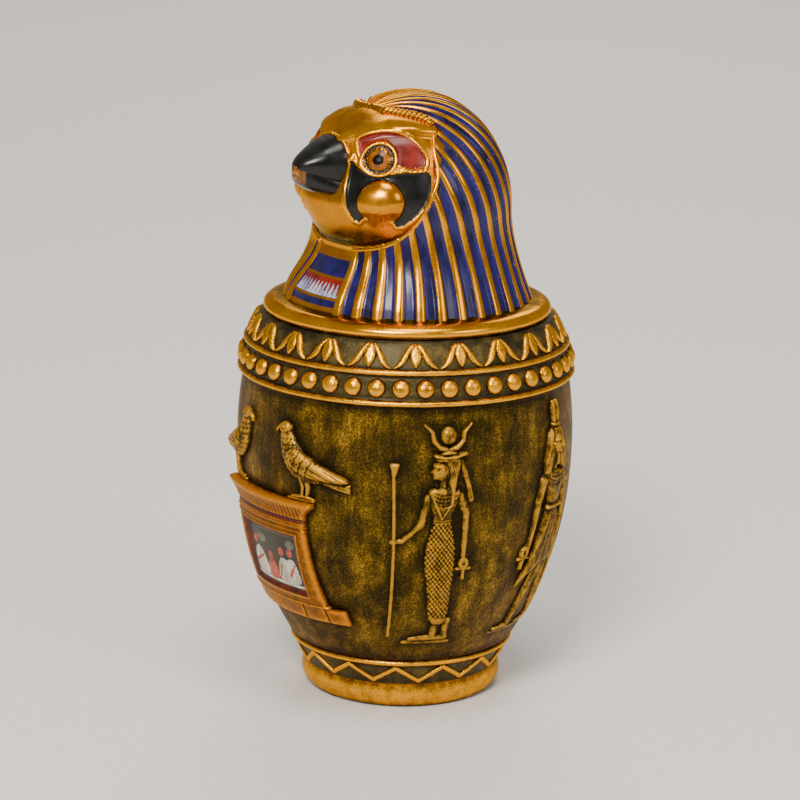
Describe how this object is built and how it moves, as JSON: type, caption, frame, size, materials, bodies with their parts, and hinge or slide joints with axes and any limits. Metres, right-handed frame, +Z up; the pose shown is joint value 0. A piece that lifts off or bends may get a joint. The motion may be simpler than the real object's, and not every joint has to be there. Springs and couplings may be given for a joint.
{
  "type": "canopic jar",
  "caption": "Hollow ovoid jar with carved bands, a shrine and standing figures, and a lift-off lid shaped as a falcon's head in a striped hood.",
  "frame": {"origin": "middle of the flat underside of the foot", "axes": "+Z up; -Y is the front, where the shrine and the beak are; +X is the falcon's left"},
  "size_m": [0.1052, 0.1073, 0.187],
  "materials": {
    "aged_bronze_resin": "satin, dry-brushed gold over dark bronze",
    "painted_gold_resin": "metallic gold paint with lapis, red and black enamel"
  },
  "bodies": {
    "root": {"jar": "aged_bronze_resin", "falcon_head_lid": "painted_gold_resin"}
  },
  "joints": []
}
